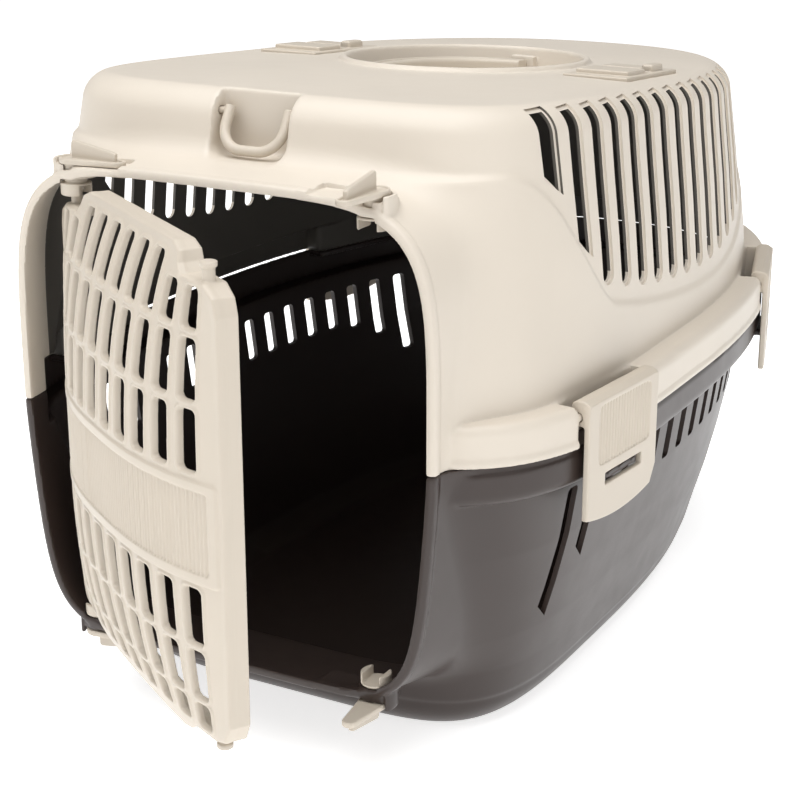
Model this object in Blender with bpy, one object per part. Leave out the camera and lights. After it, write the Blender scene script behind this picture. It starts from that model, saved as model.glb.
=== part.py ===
"""Pet transport carrier: two shells, a grille door, latch knobs, side clips and fittings.

Frame: +Z up, the mouth and the door face -Y, the origin lies in the middle of the base on the ground.
Lengths in this file are millimetres and are turned into metres when a mesh is made.
The carrier stands at rest with its door open by DOOR_OPEN_DEG on its left pins.
"""

import math

import bpy
import numpy as np
from mathutils import Matrix

MM = 0.001

# Shells
PARTING_Z = 175.0
PARTING_GAP = 0.3
WALL = 3.0
ROOF_Z_FRONT = 347.7
ROOF_SLOPE = 0.068
KNOB_Y = -275.0
MOUTH_Y = -283.0
PLAN_MID_Y = -65.0
FRONT_ROUNDNESS = 4.3
LOWER_FRONT_ROUNDNESS = 4.9
REAR_ROUNDNESS = 2.3
BELT_HALF_WIDTH = 176.8
BELT_TOP_Z = 196.4
BELT_LIP = 1.2
BAND_BOTTOM_Z = 154.0
BAND_HALF_WIDTH = 174.2

# Mouth
MOUTH_HALF_WIDTH = 123.4
MOUTH_TOP = 131.2
MOUTH_BOTTOM = 128.6
MOUTH_WALL = 4.0
MOUTH_ROUNDNESS_TOP = 5.1
MOUTH_ROUNDNESS_BOTTOM = 7.0
NECK_FLARE = 0.16

# Slits
SLIT_PITCH = 21.9
SLIT_FIRST_Y = -192.0
SLIT_WIDTH = 9.6
UPPER_SLITS = 17
LOWER_SLITS = 18

# Door
DOOR_OPEN_DEG = 33.0
PIN_X = 87.5
DOOR_HALF_WIDTH = 103.0
DOOR_TOP = 296.5
DOOR_SHOULDER = 284.5
DOOR_FOOT = 61.5
DOOR_LOW = 54.5
DOOR_BULGE = 21.0
DOOR_FRONT = 3.5
DOOR_SHEET = 3.2

# Knobs
KNOB_TOP_SEAT = 302.0
KNOB_BOTTOM_SEAT = 46.0
KNOB_TOP_INNER = 298.0
KNOB_BOTTOM_INNER = 53.5
LEVER_LIFT = {"top_left": 3.6, "top_right": 5.4, "bottom_left": 0.4, "bottom_right": 0.4}
LEVER_THICK = 2.6
LEVER_LENGTH = 27.0
FLAT_TOP_Z = 305.3
FLAT_BOTTOM_Z = 46.0
FORK_RADIUS = 8.0
FORK_REACH = {1: 16.4, -1: 15.1}
FORK_HEIGHT = 6.5
FORK_BASE = 1.3
FORK_GAP = 4.9

# Clips
CLIP_WIDTH = 73.0
CLIP_NOTCH = 77.0
CLIP_NOTCH_DEPTH = 13.0
FRONT_CLIP_Y = -173.7
REAR_CLIP_Y = 110.0
CLIP_PIVOT_INSET = 2.5
CLIP_PIVOT_Z = 190.3
CLIP_BAR_RADIUS = 2.2

# Roof fittings
HANDLE_Y = -8.0
RECESS_X = 66.0
RECESS_Y = 86.0
RECESS_DEPTH = 16.0
RING_X = 17.6
RING_PIVOT_Y = -237.0
RING_PIVOT_Z = 332.0
RING_POCKET_FLOOR = 310.5
RING_LENGTH = 20.2
GUIDE_X = 101.0
GUIDE_Y = -11.0
GUIDE_SEAT = 3.2

BEIGE = (0.79, 0.73, 0.64)
WARM_BEIGE = (0.75, 0.68, 0.57)
DARK = (0.085, 0.075, 0.07)


def clear_scene():
    for obj in list(bpy.data.objects):
        bpy.data.objects.remove(obj, do_unlink=True)


def material(name, colour, roughness):
    mat = bpy.data.materials.new(name)
    mat.use_nodes = True
    shader = mat.node_tree.nodes["Principled BSDF"]
    shader.inputs["Base Color"].default_value = (*colour, 1.0)
    shader.inputs["Roughness"].default_value = roughness
    return mat


def make_object(name, points, faces, mat=None, origin=(0.0, 0.0, 0.0), turn=None):
    """An object whose points are given in millimetres and whose origin lies at origin."""
    start = np.array(origin, float)
    local = (np.array(points, float) - start) * MM
    mesh = bpy.data.meshes.new(name)
    mesh.from_pydata([tuple(p) for p in local], [], [tuple(f) for f in faces])
    mesh.validate()
    obj = bpy.data.objects.new(name, mesh)
    obj.location = tuple(start * MM)
    if turn is not None:
        obj.matrix_world = Matrix.Translation(obj.location) @ turn
    bpy.context.scene.collection.objects.link(obj)
    if mat:
        mesh.materials.append(mat)
        mesh.shade_smooth()
        mesh.set_sharp_from_angle(angle=math.radians(35))
    return obj


def helper(obj):
    obj.hide_render = True
    obj.display_type = "WIRE"
    return obj


def boolean(obj, other, operation="DIFFERENCE"):
    modifier = obj.modifiers.new(operation.title() + " " + other.name, "BOOLEAN")
    modifier.operation = operation
    modifier.solver = "EXACT"
    modifier.object = other
    return obj


class Solid:
    """A growing list of closed bodies in millimetres."""

    def __init__(self):
        self.points = []
        self.faces = []

    def stack(self, loops):
        """Joins loops of equal length by quads and closes both ends with a flat or pole cap."""
        start, count = len(self.points), len(loops[0])
        for loop in loops:
            self.points.extend(tuple(p) for p in loop)
        for level in range(len(loops) - 1):
            low, high = start + level * count, start + (level + 1) * count
            for i in range(count):
                j = (i + 1) % count
                self.faces.append((low + i, low + j, high + j, high + i))
        self.faces.append(tuple(range(start + count - 1, start - 1, -1)))
        top = start + (len(loops) - 1) * count
        self.faces.append(tuple(range(top, top + count)))
        return self

    def prism(self, outline, low, high):
        """An outline of (x, y) between two heights."""
        return self.stack([[(x, y, z) for x, y in outline] for z in (low, high)])

    def box(self, low, high):
        (x0, y0, z0), (x1, y1, z1) = low, high
        return self.prism([(x0, y0), (x1, y0), (x1, y1), (x0, y1)], z0, z1)

    def cylinder(self, centre, radius, low, high, count=20):
        return self.prism(circle(centre, radius, count), low, high)

    def placed(self, place):
        """Moves every point by place, a function from a point to a point."""
        self.points = [place(*p) for p in self.points]
        return self

    def turned_out(self):
        """Reverses every face when the bodies are inside out."""
        total = 0.0
        for face in self.faces:
            a = np.array(self.points[face[0]])
            for i in range(1, len(face) - 1):
                total += np.dot(a, np.cross(self.points[face[i]], self.points[face[i + 1]]))
        if total < 0:
            self.faces = [tuple(reversed(f)) for f in self.faces]
        return self

    def object(self, name, mat=None, origin=(0.0, 0.0, 0.0), turn=None):
        self.turned_out()
        return make_object(name, self.points, self.faces, mat, origin, turn)


def circle(centre, radius, count=20):
    steps = (2 * math.pi * i / count for i in range(count))
    return [(centre[0] + radius * math.cos(a), centre[1] + radius * math.sin(a)) for a in steps]


def capsule(start, end, radius_start, radius_end, count=6):
    """The outline of two round ends joined by straight sides, as (x, y)."""
    angle = math.atan2(end[1] - start[1], end[0] - start[0])
    points = []
    for centre, radius, first in ((end, radius_end, -90), (start, radius_start, 90)):
        for i in range(count + 1):
            a = angle + math.radians(first + 180 * i / count)
            points.append((centre[0] + radius * math.cos(a), centre[1] + radius * math.sin(a)))
    return points


def rounded_box(low, high, radius, count=3):
    """The outline of a rectangle with round corners, as (x, y)."""
    points = []
    corners = (
        (high[0] - radius, low[1] + radius, -90),
        (high[0] - radius, high[1] - radius, 0),
        (low[0] + radius, high[1] - radius, 90),
        (low[0] + radius, low[1] + radius, 180),
    )
    for x, y, first in corners:
        for i in range(count + 1):
            a = math.radians(first + 90 * i / count)
            points.append((x + radius * math.cos(a), y + radius * math.sin(a)))
    return points


# ---- shapes of the shells -------------------------------------------------------------------------


def superellipse(angle, n):
    """(cos, sin) of a squared-off circle of exponent n."""
    c, s = math.cos(angle), math.sin(angle)
    scale = (abs(c) ** n + abs(s) ** n) ** (-1.0 / n)
    return c * scale, s * scale


PLAN_POINTS = 48


def plan_angles():
    """Angles round the plan, closer together at the two front corners."""
    steps = [2 * math.pi * (i + 0.5) / PLAN_POINTS for i in range(PLAN_POINTS)]
    return [a + 0.16 * math.sin(2 * a) * (1.0 if math.sin(a) < 0 else 0.4) for a in steps]


def plan(half_width, front, rear, front_roundness=FRONT_ROUNDNESS):
    """The outline seen from above: squarish at the mouth, round at the rear."""
    points = []
    for angle in plan_angles():
        n = front_roundness if math.sin(angle) < 0 else REAR_ROUNDNESS
        c, s = superellipse(angle, n)
        length = PLAN_MID_Y - front if s < 0 else rear - PLAN_MID_Y
        points.append((half_width * c, PLAN_MID_Y + length * s))
    return points


def roof_z(y):
    """Height of the middle of the roof, which falls towards the rear."""
    return ROOF_Z_FRONT - ROOF_SLOPE * (y - KNOB_Y)


# Half-width, front, rear and height of each level of the upper shell, where the roof is at its mid height.
UPPER_LEVELS = (
    (164.5, -282.0, 246.5, 175.0),
    (157.8, -270.0, 238.0, 226.0),
    (153.8, -261.0, 231.0, 265.0),
    (149.5, -252.5, 223.0, 298.0),
    (145.6, -244.5, 216.0, 317.8),
    (144.2, -243.1, 214.6, 323.9),
    (141.5, -240.4, 211.9, 327.7),
    (137.5, -236.4, 207.9, 330.5),
    (131.6, -230.5, 202.0, 331.8),
    (110.0, -206.0, 178.0, 332.4),
    (60.0, -140.0, 70.0, 333.2),
)
# The same for the lower shell, from the parting line down to the base.
LOWER_LEVELS = (
    (164.5, -282.0, 246.5, 175.0),
    (157.0, -262.0, 240.0, 118.0),
    (151.0, -251.0, 236.0, 89.0),
    (144.5, -243.0, 232.0, 63.0),
    (137.5, -235.0, 228.0, 40.0),
    (128.6, -227.0, 222.0, 19.0),
    (120.0, -222.0, 216.0, 6.0),
    (110.0, -214.0, 206.0, 0.0),
)


def upper_body(inset=0.0, bottom=169.0):
    """The closed body of the upper shell, drawn in by inset."""
    mid_roof = roof_z(PLAN_MID_Y)
    loops = []
    for width, front, rear, z in UPPER_LEVELS:
        loop = []
        for x, y in plan(width - inset, front + inset, rear - inset):
            stretch = (roof_z(y) - inset - PARTING_Z) / (mid_roof - PARTING_Z)
            loop.append((x, y, PARTING_Z + (z - PARTING_Z) * stretch))
        loops.append(loop)
    loops[0] = [(x, y, bottom) for x, y, _ in loops[0]]
    return Solid().stack(loops)


def lower_body(inset=0.0, top=181.0):
    """The closed body of the lower shell, drawn in by inset."""
    loops = []
    for width, front, rear, z in LOWER_LEVELS:
        height = z + inset * (1 - z / PARTING_Z)
        outline = plan(width - inset, front + inset, rear - inset, LOWER_FRONT_ROUNDNESS)
        loops.append([(x, y, height) for x, y in outline])
    loops[0] = [(x, y, top) for x, y, _ in loops[0]]
    return Solid().stack(loops)


def belt(half_width, levels):
    """A band round both shells; levels are (inset, height)."""
    loops = []
    for inset, z in levels:
        loops.append([(x, y, z) for x, y in plan(half_width - inset, -282.0 + inset, 258.8 - inset)])
    return Solid().stack(loops)


def mouth(offset, y, count=40):
    """The outline of the mouth, moved out by offset, as points at y."""
    points = []
    for i in range(count):
        angle = 2 * math.pi * (i + 0.5) / count
        upper = math.sin(angle) > 0
        c, s = superellipse(angle, MOUTH_ROUNDNESS_TOP if upper else MOUTH_ROUNDNESS_BOTTOM)
        z = s * ((MOUTH_TOP if upper else MOUTH_BOTTOM) + offset)
        width = MOUTH_HALF_WIDTH + offset
        if not upper:
            width -= 12.0 * (-z / (MOUTH_BOTTOM + offset)) ** 1.3
        points.append((c * width, y, PARTING_Z + z))
    return points


def neck(offset, front, rear):
    """The flared collar between the mouth and the body."""
    steps = 3
    loops = []
    for i in range(steps + 1):
        y = front + (rear - front) * i / steps
        loops.append(mouth(offset + NECK_FLARE * max(0.0, y - MOUTH_Y), y))
    return Solid().stack(loops)


def half_space(upper):
    """A box that holds everything on one side of the parting line."""
    gap = PARTING_GAP / 2
    if upper:
        return Solid().box((-300, -400, PARTING_Z + gap), (300, 400, 500))
    return Solid().box((-300, -400, -50), (300, 400, PARTING_Z - gap))


def half_width_at(y, half_width, front, rear):
    """Half-width at y of a plan outline."""
    if y < PLAN_MID_Y:
        share, n = (PLAN_MID_Y - y) / (PLAN_MID_Y - front), FRONT_ROUNDNESS
    else:
        share, n = (y - PLAN_MID_Y) / (rear - PLAN_MID_Y), REAR_ROUNDNESS
    return half_width * (1 - share**n) ** (1 / n)


# ---- clips: places in the belt --------------------------------------------------------------------


def clip_place(y_mid, side):
    """Maps (t, n, z): t along the belt to the rear, n outwards from its chord, z up."""
    y0, y1 = y_mid - CLIP_NOTCH / 2, y_mid + CLIP_NOTCH / 2
    x0, x1 = (half_width_at(y, BELT_HALF_WIDTH, -282.0, 258.8) for y in (y0, y1))
    length = math.hypot(x1 - x0, y1 - y0)
    tx, ty = (x1 - x0) / length, (y1 - y0) / length
    mx, my = (x0 + x1) / 2, (y0 + y1) / 2

    def place(t, n, z):
        return (side * (mx + t * tx + n * ty), my + t * ty - n * tx, z)

    return place


CLIP_PLACES = {
    "front_left": (FRONT_CLIP_Y, -1),
    "front_right": (FRONT_CLIP_Y, 1),
    "rear_left": (REAR_CLIP_Y, -1),
    "rear_right": (REAR_CLIP_Y, 1),
}


def notches(grow):
    """The places of the four clips in the upper belt, as one cutter."""
    solid = Solid()
    half = CLIP_NOTCH / 2 + grow
    for y_mid, side in CLIP_PLACES.values():
        place = clip_place(y_mid, side)
        body = Solid().box((-half, -CLIP_NOTCH_DEPTH - grow, 160.0), (half, 20.0, 215.0)).placed(place)
        body.turned_out()
        base = len(solid.points)
        solid.points += body.points
        solid.faces += [tuple(i + base for i in f) for f in body.faces]
    return solid


def merged(solids):
    whole = Solid()
    for body in solids:
        body.turned_out()
        base = len(whole.points)
        whole.points += body.points
        whole.faces += [tuple(i + base for i in f) for f in body.faces]
    return whole


def clip_bars():
    """The four bars that the clips swing on, across the notches."""
    bars = []
    half = CLIP_NOTCH / 2 + 2.4
    for y_mid, side in CLIP_PLACES.values():
        place = clip_place(y_mid, side)
        ring = circle((-CLIP_PIVOT_INSET, CLIP_PIVOT_Z), CLIP_BAR_RADIUS, 12)
        bar = Solid().stack([[(t, n, z) for n, z in ring] for t in (-half, half)])
        bars.append(bar.placed(place))
    return merged(bars)


def clip_catches():
    """The lugs under the dark band that the clips' windows hold."""
    lugs = []
    for y_mid, side in CLIP_PLACES.values():
        place = clip_place(y_mid, side)
        lugs.append(Solid().box((-17, -15.6, 151.8), (18, 3.2, 155.6)).placed(place))
    return merged(lugs)


# ---- slits ---------------------------------------------------------------------------------------


def slit_y(index):
    return SLIT_FIRST_Y + SLIT_PITCH * index


def upper_slit_heights(y):
    """Bottom and top of the slit at y: the bottoms follow the hood line, the tops the roof edge."""
    ahead, behind = max(0.0, 4.8 - y), max(0.0, y - 4.8)
    bottom = 224.0 + 8.4e-4 * ahead**2 + 0.0178 * max(0.0, ahead - 148.8) ** 2 + 1.7e-3 * behind**2
    return bottom, roof_z(y) - 5.7


def lower_slit_heights(y):
    """Bottom and top of the slot at y: short in the middle, long at both ends."""
    ahead, behind = max(0.0, -126.4 - y), max(0.0, y - 70.5)
    return 119.0 - 0.0120 * ahead**2 - 0.0063 * behind**2, 146.0


def upper_reach(y):
    return half_width_at(y, 145.6, -244.5, 216.0) - 9.5


def lower_reach(y):
    return 0.75 * half_width_at(y, 128.6, -227.0, 222.0)


def slits(count, heights, reach):
    """Upright cutters through both side walls; reach(y) is the inner end of each cutter."""
    bodies = []
    half = SLIT_WIDTH / 2
    for side in (-1, 1):
        for index in range(count):
            y = slit_y(index)
            bottom, top = heights(y)
            outline = [(y - half, top), (y - half, bottom), (y + half, bottom), (y + half, top)]
            inner, outer = side * reach(y), side * 210.0
            bodies.append(Solid().stack([[(x, a, z) for a, z in outline] for x in (inner, outer)]))
    return merged(bodies)


# ---- knobs ---------------------------------------------------------------------------------------

KNOBS = {
    "top_left": (-1, 1),
    "top_right": (1, 1),
    "bottom_left": (-1, -1),
    "bottom_right": (1, -1),
}


def knob_seat(side, up):
    """Round pad through the collar's wall, which the knob turns in."""
    seat = KNOB_TOP_SEAT if up > 0 else KNOB_BOTTOM_SEAT
    inner = KNOB_TOP_INNER if up > 0 else KNOB_BOTTOM_INNER
    low, high = sorted((seat, inner))
    return Solid().cylinder((side * PIN_X, KNOB_Y + 2.4), 10.0, low, high, 18)


def knob_ring(side, up):
    """The C-shaped wall round the knob, open from the inner side to the front."""
    seat = KNOB_TOP_SEAT if up > 0 else KNOB_BOTTOM_SEAT
    points = []
    first, last = (-35, 126) if side > 0 else (54, 215)
    steps = 8
    for radius, order in ((11.2, range(steps + 1)), (9.0, range(steps, -1, -1))):
        for i in order:
            a = math.radians(first + (last - first) * i / steps)
            points.append((side * PIN_X + radius * math.cos(a), KNOB_Y + radius * math.sin(a)))
    root, height = (4.5, 6.5) if up > 0 else (8.5, 4.0)
    low, high = sorted((seat - up * root, seat + up * height))
    return Solid().prism(points, low, high)


def lever_flat(side, up, depth, height):
    """A box over the area that the lever sweeps, from depth inside the flat to height outside it."""
    flat = FLAT_TOP_Z if up > 0 else FLAT_BOTTOM_Z
    x0, x1 = sorted((side * 55.5, side * 96.5))
    y0, y1 = (-281.0, -264.0) if depth else (-290.0, -266.4)
    low, high = sorted((flat - up * depth, flat + up * height))
    return Solid().box((x0, y0, low), (x1, y1, high))


def knob(name, side, up, mat):
    """Quarter-turn knob. The left ones hold the door (lever inwards), the right ones are turned forward."""
    x = side * PIN_X
    seat = KNOB_TOP_SEAT if up > 0 else KNOB_BOTTOM_SEAT
    lift = LEVER_LIFT[name.removeprefix("latch_knob_")]
    fork_end = lift - FORK_REACH[up]
    heading = (1.0, 0.0) if side < 0 else (0.0, -1.0)
    across = (-heading[1], heading[0])

    def span(a, b):
        return sorted((seat + up * a, seat + up * b))

    def at(along, off, z=0.0):
        return (
            x + along * heading[0] + off * across[0],
            KNOB_Y + along * heading[1] + off * across[1],
            seat + up * z,
        )

    tip = at(LEVER_LENGTH, 0.0)[:2]
    plate = Solid().prism(capsule((x, KNOB_Y), tip, 8.0, 4.0), *span(lift, lift + LEVER_THICK))
    obj = plate.object(name, mat, (x, KNOB_Y, seat))
    fin_outline = [(-1, lift + 1), (26, lift + 1), (26.5, lift + 6.6), (24, lift + 7.6), (0.5, lift + 11.6),
                   (-1, lift + 10.6)]
    shaft = span(lift + 1.2, fork_end + FORK_HEIGHT - 0.8)
    parts = [
        Solid().stack([[at(a, o, z) for a, z in fin_outline] for o in (-1.3, 1.3)]),
        Solid().cylinder((x, KNOB_Y), 5.8, *shaft, 16),
        Solid().cylinder((x, KNOB_Y), FORK_RADIUS, *span(fork_end + FORK_HEIGHT, fork_end), 18),
    ]
    for index, body in enumerate(parts):
        boolean(obj, helper(body.object(f"{name}_part{index}")), "UNION")
    slot = [at(a, o)[:2] for a, o in ((-12, -FORK_GAP), (12, -FORK_GAP), (12, FORK_GAP), (-12, FORK_GAP))]
    low, high = span(fork_end + FORK_HEIGHT - FORK_BASE, fork_end - 5.0)
    boolean(obj, helper(Solid().prism(slot, low, high).object(f"{name}_slot")))
    return obj


# ---- shells --------------------------------------------------------------------------------------


def roof_recess(grow):
    """The oval hollow in the roof for the handle, parallel to the roof."""
    def level(scale_out, depth):
        loop = []
        for i in range(28):
            a = 2 * math.pi * i / 28
            x = (RECESS_X + scale_out) * math.cos(a)
            y = HANDLE_Y + (RECESS_Y + scale_out) * math.sin(a)
            loop.append((x, y, roof_z(y) + depth))
        return loop

    return Solid().stack([level(grow, 30.0), level(grow, 0.0), level(grow - 3.0, -RECESS_DEPTH - grow)])


def recess_rim():
    """Raised round rim of the roof recess."""
    def level(out, height):
        loop = []
        for i in range(28):
            a = 2 * math.pi * i / 28
            x = (RECESS_X + out) * math.cos(a)
            y = HANDLE_Y + (RECESS_Y + out) * math.sin(a)
            loop.append((x, y, roof_z(y) + height))
        return loop

    return Solid().stack([level(6.0, -3.0), level(6.0, 0.0), level(4.5, 2.4), level(1.5, 2.4)])


def ring_pocket(grow):
    """The hollow in the front of the hood where the ring hangs."""
    half = 22.3 + grow
    outline = rounded_box((-half, RING_POCKET_FLOOR - grow), (half, 385.0), 7.0 + grow, 4)
    return Solid().stack([[(x, y, z) for x, z in outline] for y in (-300.0, -231.8 + grow)])


def handle_axis_z(y):
    return roof_z(y) - 8.5


HANDLE_SPAN = 76.5


def handle_bearings():
    """Two upright blocks on the recess floor that hold the handle's journals."""
    blocks = []
    for end in (-1, 1):
        y = HANDLE_Y + end * (HANDLE_SPAN + 4.0)
        outline = rounded_box((-8.0, y - 3.2), (8.0, y + 3.2), 1.5, 1)
        blocks.append(Solid().prism(outline, roof_z(y) - RECESS_DEPTH - 1.5, handle_axis_z(y) + 6.0))
    return merged(blocks)


def along_axis(y, radius, count=12):
    """A ring of points round the handle's axis at y."""
    return [(radius * math.cos(a), y, handle_axis_z(y) + radius * math.sin(a))
            for a in (2 * math.pi * i / count for i in range(count))]


def handle_bores():
    bores = []
    for end in (-1, 1):
        y = HANDLE_Y + end * HANDLE_SPAN
        bores.append(Solid().stack([along_axis(y, 3.0), along_axis(y + end * 7.6, 3.0)]))
    return merged(bores)


def ring_bores():
    """Holes in the pocket's side walls for the ring's journals."""
    points = circle((RING_PIVOT_Y, RING_PIVOT_Z), 2.3, 12)
    bores = []
    for side in (-1, 1):
        bores.append(Solid().stack([[(x, y, z) for y, z in points] for x in (side * 22.0, side * 25.7)]))
    return merged(bores)


def sloping_prism(outline, drop, height):
    """An outline of (x, y) from the roof's middle height less drop up to a level top."""
    low = [(x, y, roof_z(y) - drop) for x, y in outline]
    return Solid().stack([low, [(x, y, height) for x, y in outline]])


def guide_seats(grow):
    """Flat seats of the two belt guides, each with a deeper hollow where the belt passes."""
    bodies = []
    for side in (-1, 1):
        x, y = side * GUIDE_X, GUIDE_Y
        seat = rounded_box((x - 20 - grow, y - 39 - grow), (x + 20 + grow, y + 39 + grow), 2.0, 2)
        bodies.append(sloping_prism(seat, GUIDE_SEAT + grow, 380.0))
    return merged(bodies)


def guide_hollows(grow):
    bodies = []
    for side in (-1, 1):
        x, y = side * GUIDE_X, GUIDE_Y
        hollow = rounded_box((x - 16 - grow, y - 26 - grow), (x + 16 + grow, y + 24 + grow), 3.0, 2)
        bodies.append(sloping_prism(hollow, 9.0 + grow, 379.0))
    return merged(bodies)


def top_shell(mat):
    shell = upper_body().object("top_shell", mat)
    boolean(shell, helper(neck(0.0, MOUTH_Y, -222.0).object("neck_outer")), "UNION")
    rounded = [(0.0 - BELT_LIP, 165.0), (-BELT_LIP, 178.2), (0.0, 178.8), (0.0, 192.4), (1.6, 195.4),
               (4.5, BELT_TOP_Z)]
    boolean(shell, helper(belt(BELT_HALF_WIDTH, rounded).object("belt_outer")), "UNION")
    boolean(shell, helper(recess_rim().object("recess_rim_body")), "UNION")
    boolean(shell, helper(notches(0.0).object("clip_notches")))
    boolean(shell, helper(ring_pocket(0.0).object("ring_pocket_cut")))
    boolean(shell, helper(roof_recess(0.0).object("roof_recess_cut")))
    boolean(shell, helper(guide_seats(0.0).object("guide_seat_cut")))
    boolean(shell, helper(guide_hollows(0.0).object("guide_hollow_cut")))
    inner = helper(upper_body(WALL, 160.0).object("upper_inner"))
    boolean(inner, helper(neck(-MOUTH_WALL, MOUTH_Y - 10.0, -222.0).object("neck_inner")), "UNION")
    hollow = [(WALL, 158.0), (WALL, BELT_TOP_Z - WALL)]
    boolean(inner, helper(belt(BELT_HALF_WIDTH, hollow).object("belt_inner")), "UNION")
    boolean(inner, helper(notches(WALL).object("clip_notch_walls")))
    boolean(inner, helper(ring_pocket(WALL).object("ring_pocket_walls")))
    boolean(inner, helper(roof_recess(WALL).object("roof_recess_walls")))
    boolean(inner, helper(guide_seats(WALL).object("guide_seat_walls")))
    boolean(inner, helper(guide_hollows(WALL).object("guide_hollow_walls")))
    boolean(shell, inner)
    boolean(shell, helper(handle_bearings().object("handle_bearing_blocks")), "UNION")
    boolean(shell, helper(handle_bores().object("handle_bore_cut")))
    boolean(shell, helper(ring_bores().object("ring_bore_cut")))
    boolean(shell, helper(clip_bars().object("clip_bar_set")), "UNION")
    add_knob_seats(shell, 1)
    boolean(shell, helper(slits(UPPER_SLITS, upper_slit_heights, upper_reach).object("upper_slit_cut")))
    boolean(shell, helper(half_space(True).object("above_parting")), "INTERSECT")
    return shell


def add_knob_seats(shell, up):
    seats = merged([knob_seat(side, up) for side in (-1, 1)])
    boolean(shell, helper(seats.object(f"knob_seats_{up}")), "UNION")
    backs = merged([lever_flat(side, up, 3.0 if up > 0 else 3.5, 0.1) for side in (-1, 1)])
    boolean(shell, helper(backs.object(f"lever_flat_backs_{up}")), "UNION")
    flats = merged([lever_flat(side, up, 0.0, 12.0) for side in (-1, 1)])
    boolean(shell, helper(flats.object(f"lever_flats_{up}")))
    rings = merged([knob_ring(side, up) for side in (-1, 1)])
    boolean(shell, helper(rings.object(f"knob_rings_{up}")), "UNION")
    ends = sorted((PARTING_Z + up * 90, PARTING_Z + up * 150))
    holes = merged([Solid().cylinder((side * PIN_X, KNOB_Y), 6.3, *ends, 16) for side in (-1, 1)])
    boolean(shell, helper(holes.object(f"knob_holes_{up}")))
    inner = KNOB_TOP_INNER if up > 0 else KNOB_BOTTOM_INNER
    low, high = sorted((inner, inner - up * 14.0))
    room = merged([Solid().cylinder((side * PIN_X, KNOB_Y), FORK_RADIUS + 0.6, low, high, 18)
                   for side in (-1, 1)])
    boolean(shell, helper(room.object(f"fork_room_{up}")))


def bottom_shell(mat):
    shell = lower_body().object("bottom_shell", mat)
    boolean(shell, helper(neck(0.0, MOUTH_Y, -212.0).object("neck_outer_low")), "UNION")
    rounded = [(6.0, BAND_BOTTOM_Z), (1.5, BAND_BOTTOM_Z + 1.5), (0.0, BAND_BOTTOM_Z + 4.5), (0.0, 185.0)]
    boolean(shell, helper(belt(BAND_HALF_WIDTH, rounded).object("band_outer")), "UNION")
    inner = helper(lower_body(WALL, 190.0).object("lower_inner"))
    boolean(inner, helper(neck(-MOUTH_WALL, MOUTH_Y - 10.0, -212.0).object("neck_inner_low")), "UNION")
    hollow = [(WALL, BAND_BOTTOM_Z + WALL), (WALL, 192.5)]
    boolean(inner, helper(belt(BAND_HALF_WIDTH, hollow).object("band_inner")), "UNION")
    boolean(shell, inner)
    add_knob_seats(shell, -1)
    boolean(shell, helper(slits(LOWER_SLITS, lower_slit_heights, lower_reach).object("lower_slit_cut")))
    boolean(shell, helper(clip_catches().object("clip_catch_set")), "UNION")
    boolean(shell, helper(half_space(False).object("below_parting")), "INTERSECT")
    return shell


# ---- door ----------------------------------------------------------------------------------------

DOOR_COLUMNS = (9.3, 27.9, 46.5, 65.1, 83.7)
DOOR_ROWS = ((263.0, 291.0), (230.5, 259.0), (197.0, 226.5), (110.8, 139.8), (82.0, 107.5), (66.0, 79.0))
DOOR_CELL = 11.2


def door_outline(inset=0.0):
    """Outline of the closed door as (x, z): lowered shoulders at all four pins."""
    half, high = DOOR_HALF_WIDTH - inset, DOOR_TOP - inset
    shoulder, foot = DOOR_SHOULDER - inset, DOOR_FOOT + inset
    mid_low = DOOR_LOW + inset
    right = [(55 - inset, mid_low), (64 - inset, mid_low + 2), (71 - inset, foot), (90, foot),
             (98 - inset, foot + 2.5), (half, foot + 12), (half, shoulder - 13),
             (half - 3, shoulder - 5), (91, shoulder), (70 - inset, shoulder), (66 - inset, shoulder + 4),
             (64 - inset, high - 3), (56 - inset, high)]
    return right + [(-x, z) for x, z in reversed(right)]


def door_front(x, z):
    """How far the closed door's front lies before the pins' plane."""
    across = max(0.0, 1 - abs(x / DOOR_HALF_WIDTH) ** 2.6)
    upright = max(0.0, 1 - abs((z - 170.0) / 126.0) ** 3.0)
    return DOOR_FRONT + DOOR_BULGE * across * upright


def door_sheet():
    """The curved sheet over the whole rectangle, to be trimmed by the outline."""
    columns, rows = 12, 10
    xs = [-DOOR_HALF_WIDTH - 2 + (2 * DOOR_HALF_WIDTH + 4) * i / columns for i in range(columns + 1)]
    zs = [51.0 + 246.0 * i / rows for i in range(rows + 1)]
    solid, wide = Solid(), columns + 1
    for back in (0, 1):
        for z in zs:
            for x in xs:
                solid.points.append((x, KNOB_Y - door_front(x, z) + DOOR_SHEET * back, z))
    count = wide * (rows + 1)
    for r in range(rows):
        for c in range(columns):
            a = r * wide + c
            for face in ((a, a + 1, a + wide + 1), (a, a + wide + 1, a + wide)):
                solid.faces.append(face)
                solid.faces.append(tuple(count + i for i in reversed(face)))
    edge = [c for c in range(wide)] + [r * wide + columns for r in range(1, rows + 1)]
    edge += [rows * wide + c for c in range(columns - 1, -1, -1)] + [r * wide for r in range(rows - 1, 0, -1)]
    for i, a in enumerate(edge):
        b = edge[(i + 1) % len(edge)]
        solid.faces.append((b, a, a + count, b + count))
    return solid


def upright_prism(outline, front, back):
    """An outline of (x, z) between two y positions."""
    return Solid().stack([[(x, y, z) for x, z in outline] for y in (front, back)])


def door_cells():
    cells = []
    half = DOOR_CELL / 2
    for column in DOOR_COLUMNS:
        for row, (low, high) in enumerate(DOOR_ROWS):
            if row == 0 and column > 60:
                high -= 9.0
            for side in (-1, 1):
                x = side * column
                outline = [(x - half, low), (x + half, low), (x + half, high), (x - half, high)]
                cells.append(upright_prism(outline, KNOB_Y - 60, KNOB_Y + 30))
    return merged(cells)


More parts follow.
